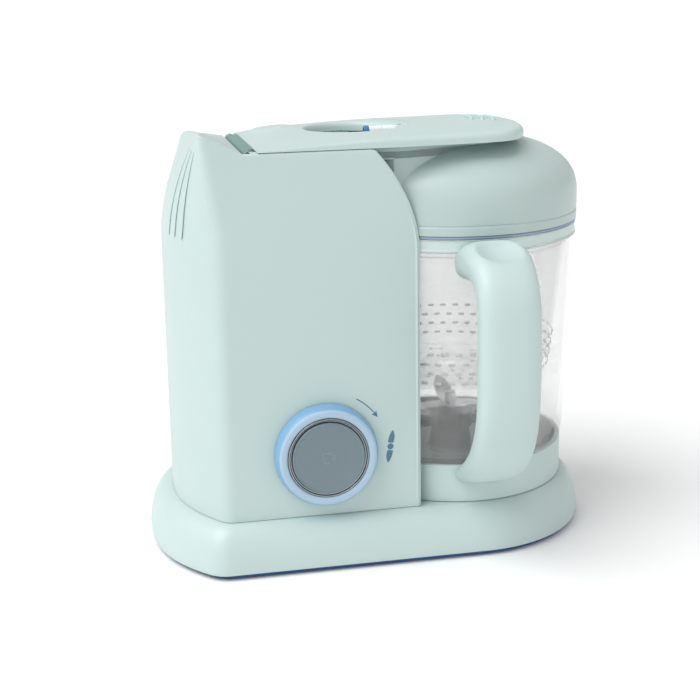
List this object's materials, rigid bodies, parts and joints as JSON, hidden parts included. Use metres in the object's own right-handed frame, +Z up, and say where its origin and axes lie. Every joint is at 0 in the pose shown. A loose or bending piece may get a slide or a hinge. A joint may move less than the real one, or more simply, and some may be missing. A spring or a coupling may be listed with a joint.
{
  "type": "baby food maker",
  "caption": "Countertop steam cooker and blender: a pale mint tower with a front dial, a clear lidded jug with a handle, a hinged domed lid and a top lever on a flared base.",
  "frame": {"origin": "centre of the base's footprint on the table, at the level the feet stand on", "axes": "+X along the base from the tower to the jug, -Y out of the front with the dial and the jug handle, +Z up"},
  "size_m": [0.28, 0.2156, 0.2628],
  "materials": {
    "mint_plastic": "satin",
    "mint_dark_plastic": "matt",
    "navy_plastic": "matt",
    "rubber_pad": "matt",
    "slate_plastic": "satin",
    "periwinkle_plastic": "satin",
    "clear_plastic": "clear gloss",
    "frosted_plastic": "satin, translucent",
    "steel": "brushed",
    "chrome_trim": "polished",
    "black_plastic": "matt",
    "white_plastic": "satin",
    "circuit_board": "satin",
    "copper": "satin",
    "silicone": "matt"
  },
  "bodies": {
    "machine": {"base_skirt": "mint_plastic", "base_sole": "navy_plastic", "foot_front_left": "rubber_pad", "foot_front_right": "rubber_pad", "foot_rear_left": "rubber_pad", "foot_rear_right": "rubber_pad", "base_screw_1": "steel", "base_screw_2": "steel", "base_screw_3": "steel", "base_screw_4": "steel", "jug_seat": "mint_dark_plastic", "tower_front_shell": "mint_plastic", "tower_rear_shell": "mint_plastic", "tower_deck": "mint_dark_plastic", "lead_gland": "black_plastic", "tower_screw_1": "steel", "tower_screw_2": "steel", "tower_screw_3": "steel", "tower_screw_4": "steel", "water_tank": "steel", "heater_plate": "steel", "thermostat": "copper", "control_board": "circuit_board", "motor": "steel", "motor_bracket": "steel", "drive_belt": "rubber_pad", "spindle_bush": "copper", "knob_bezel": "chrome_trim", "button_spring": "steel", "rotary_switch": "black_plastic", "supply_lead": "rubber_pad", "heater_lead": "white_plastic", "switch_lead": "white_plastic", "hinge_pin": "steel"},
    "motor_rotor": {"motor_shaft": "steel", "motor_pulley": "black_plastic", "cooling_fan": "black_plastic"},
    "spindle": {"drive_spindle": "steel", "spindle_pulley": "black_plastic"},
    "knob": {"knob_ring": "periwinkle_plastic"},
    "button": {"steam_button": "slate_plastic"},
    "jug": {"jug_collar": "mint_plastic", "jug_bowl": "clear_plastic", "jug_rim_ring": "frosted_plastic", "jug_handle": "mint_plastic", "steam_basket": "frosted_plastic", "blade_housing": "black_plastic"},
    "blade": {"blade_shaft": "steel", "blade_hub": "black_plastic", "blade_lower": "steel", "blade_upper": "steel"},
    "lid": {"lid_shell": "mint_plastic", "steam_channel_plate": "mint_dark_plastic", "tank_seal": "silicone", "lid_seal": "silicone"},
    "lever": {"lever_plate": "mint_plastic", "latch_spring": "steel"},
    "latch": {"latch_slider": "white_plastic", "latch_cap": "navy_plastic"}
  },
  "joints": [
    {"name": "motor_spin", "type": "hinge", "parent": "machine", "child": "motor_rotor", "pos_m": [-0.068, 0, 0.09], "axis": [0, 0, 1], "continuous": true},
    {"name": "spindle_spin", "type": "hinge", "parent": "machine", "child": "spindle", "pos_m": [0.0575, 0, 0.02], "axis": [0, 0, 1], "continuous": true},
    {"name": "jug_turn", "type": "hinge", "parent": "machine", "child": "jug", "pos_m": [0.0575, 0, 0.043], "axis": [0, 0, 1], "range_deg": [0, 25]},
    {"name": "blade_spin", "type": "hinge", "parent": "jug", "child": "blade", "pos_m": [0.0575, 0, 0.06], "axis": [0, 0, 1], "continuous": true},
    {"name": "knob_turn", "type": "hinge", "parent": "machine", "child": "knob", "pos_m": [-0.0387, -0.07, 0.0701], "axis": [0, 1, 0], "range_deg": [0, 45], "stiffness_Nm_per_rad": 0.08},
    {"name": "steam_button_press", "type": "slide", "parent": "machine", "child": "button", "axis": [0, 1, 0], "range_m": [0, 0.0025], "stiffness_N_per_m": 400, "deforming": ["button_spring"]},
    {"name": "lid_hinge", "type": "hinge", "parent": "machine", "child": "lid", "pos_m": [-0.0775, 0, 0.247], "axis": [0, -1, 0], "range_deg": [0, 80]},
    {"name": "lever_lift", "type": "hinge", "parent": "lid", "child": "lever", "pos_m": [-0.0775, 0, 0.247], "axis": [0, -1, 0], "range_deg": [0, 12]},
    {"name": "latch_slide", "type": "slide", "parent": "lever", "child": "latch", "axis": [1, 0, 0], "range_m": [0, 0.004], "stiffness_N_per_m": 300, "deforming": ["latch_spring"]}
  ],
  "couplings": [
    {"joint": "spindle_spin", "follows": "motor_spin", "ratio": 0.5},
    {"joint": "blade_spin", "follows": "motor_spin", "ratio": 0.5}
  ]
}
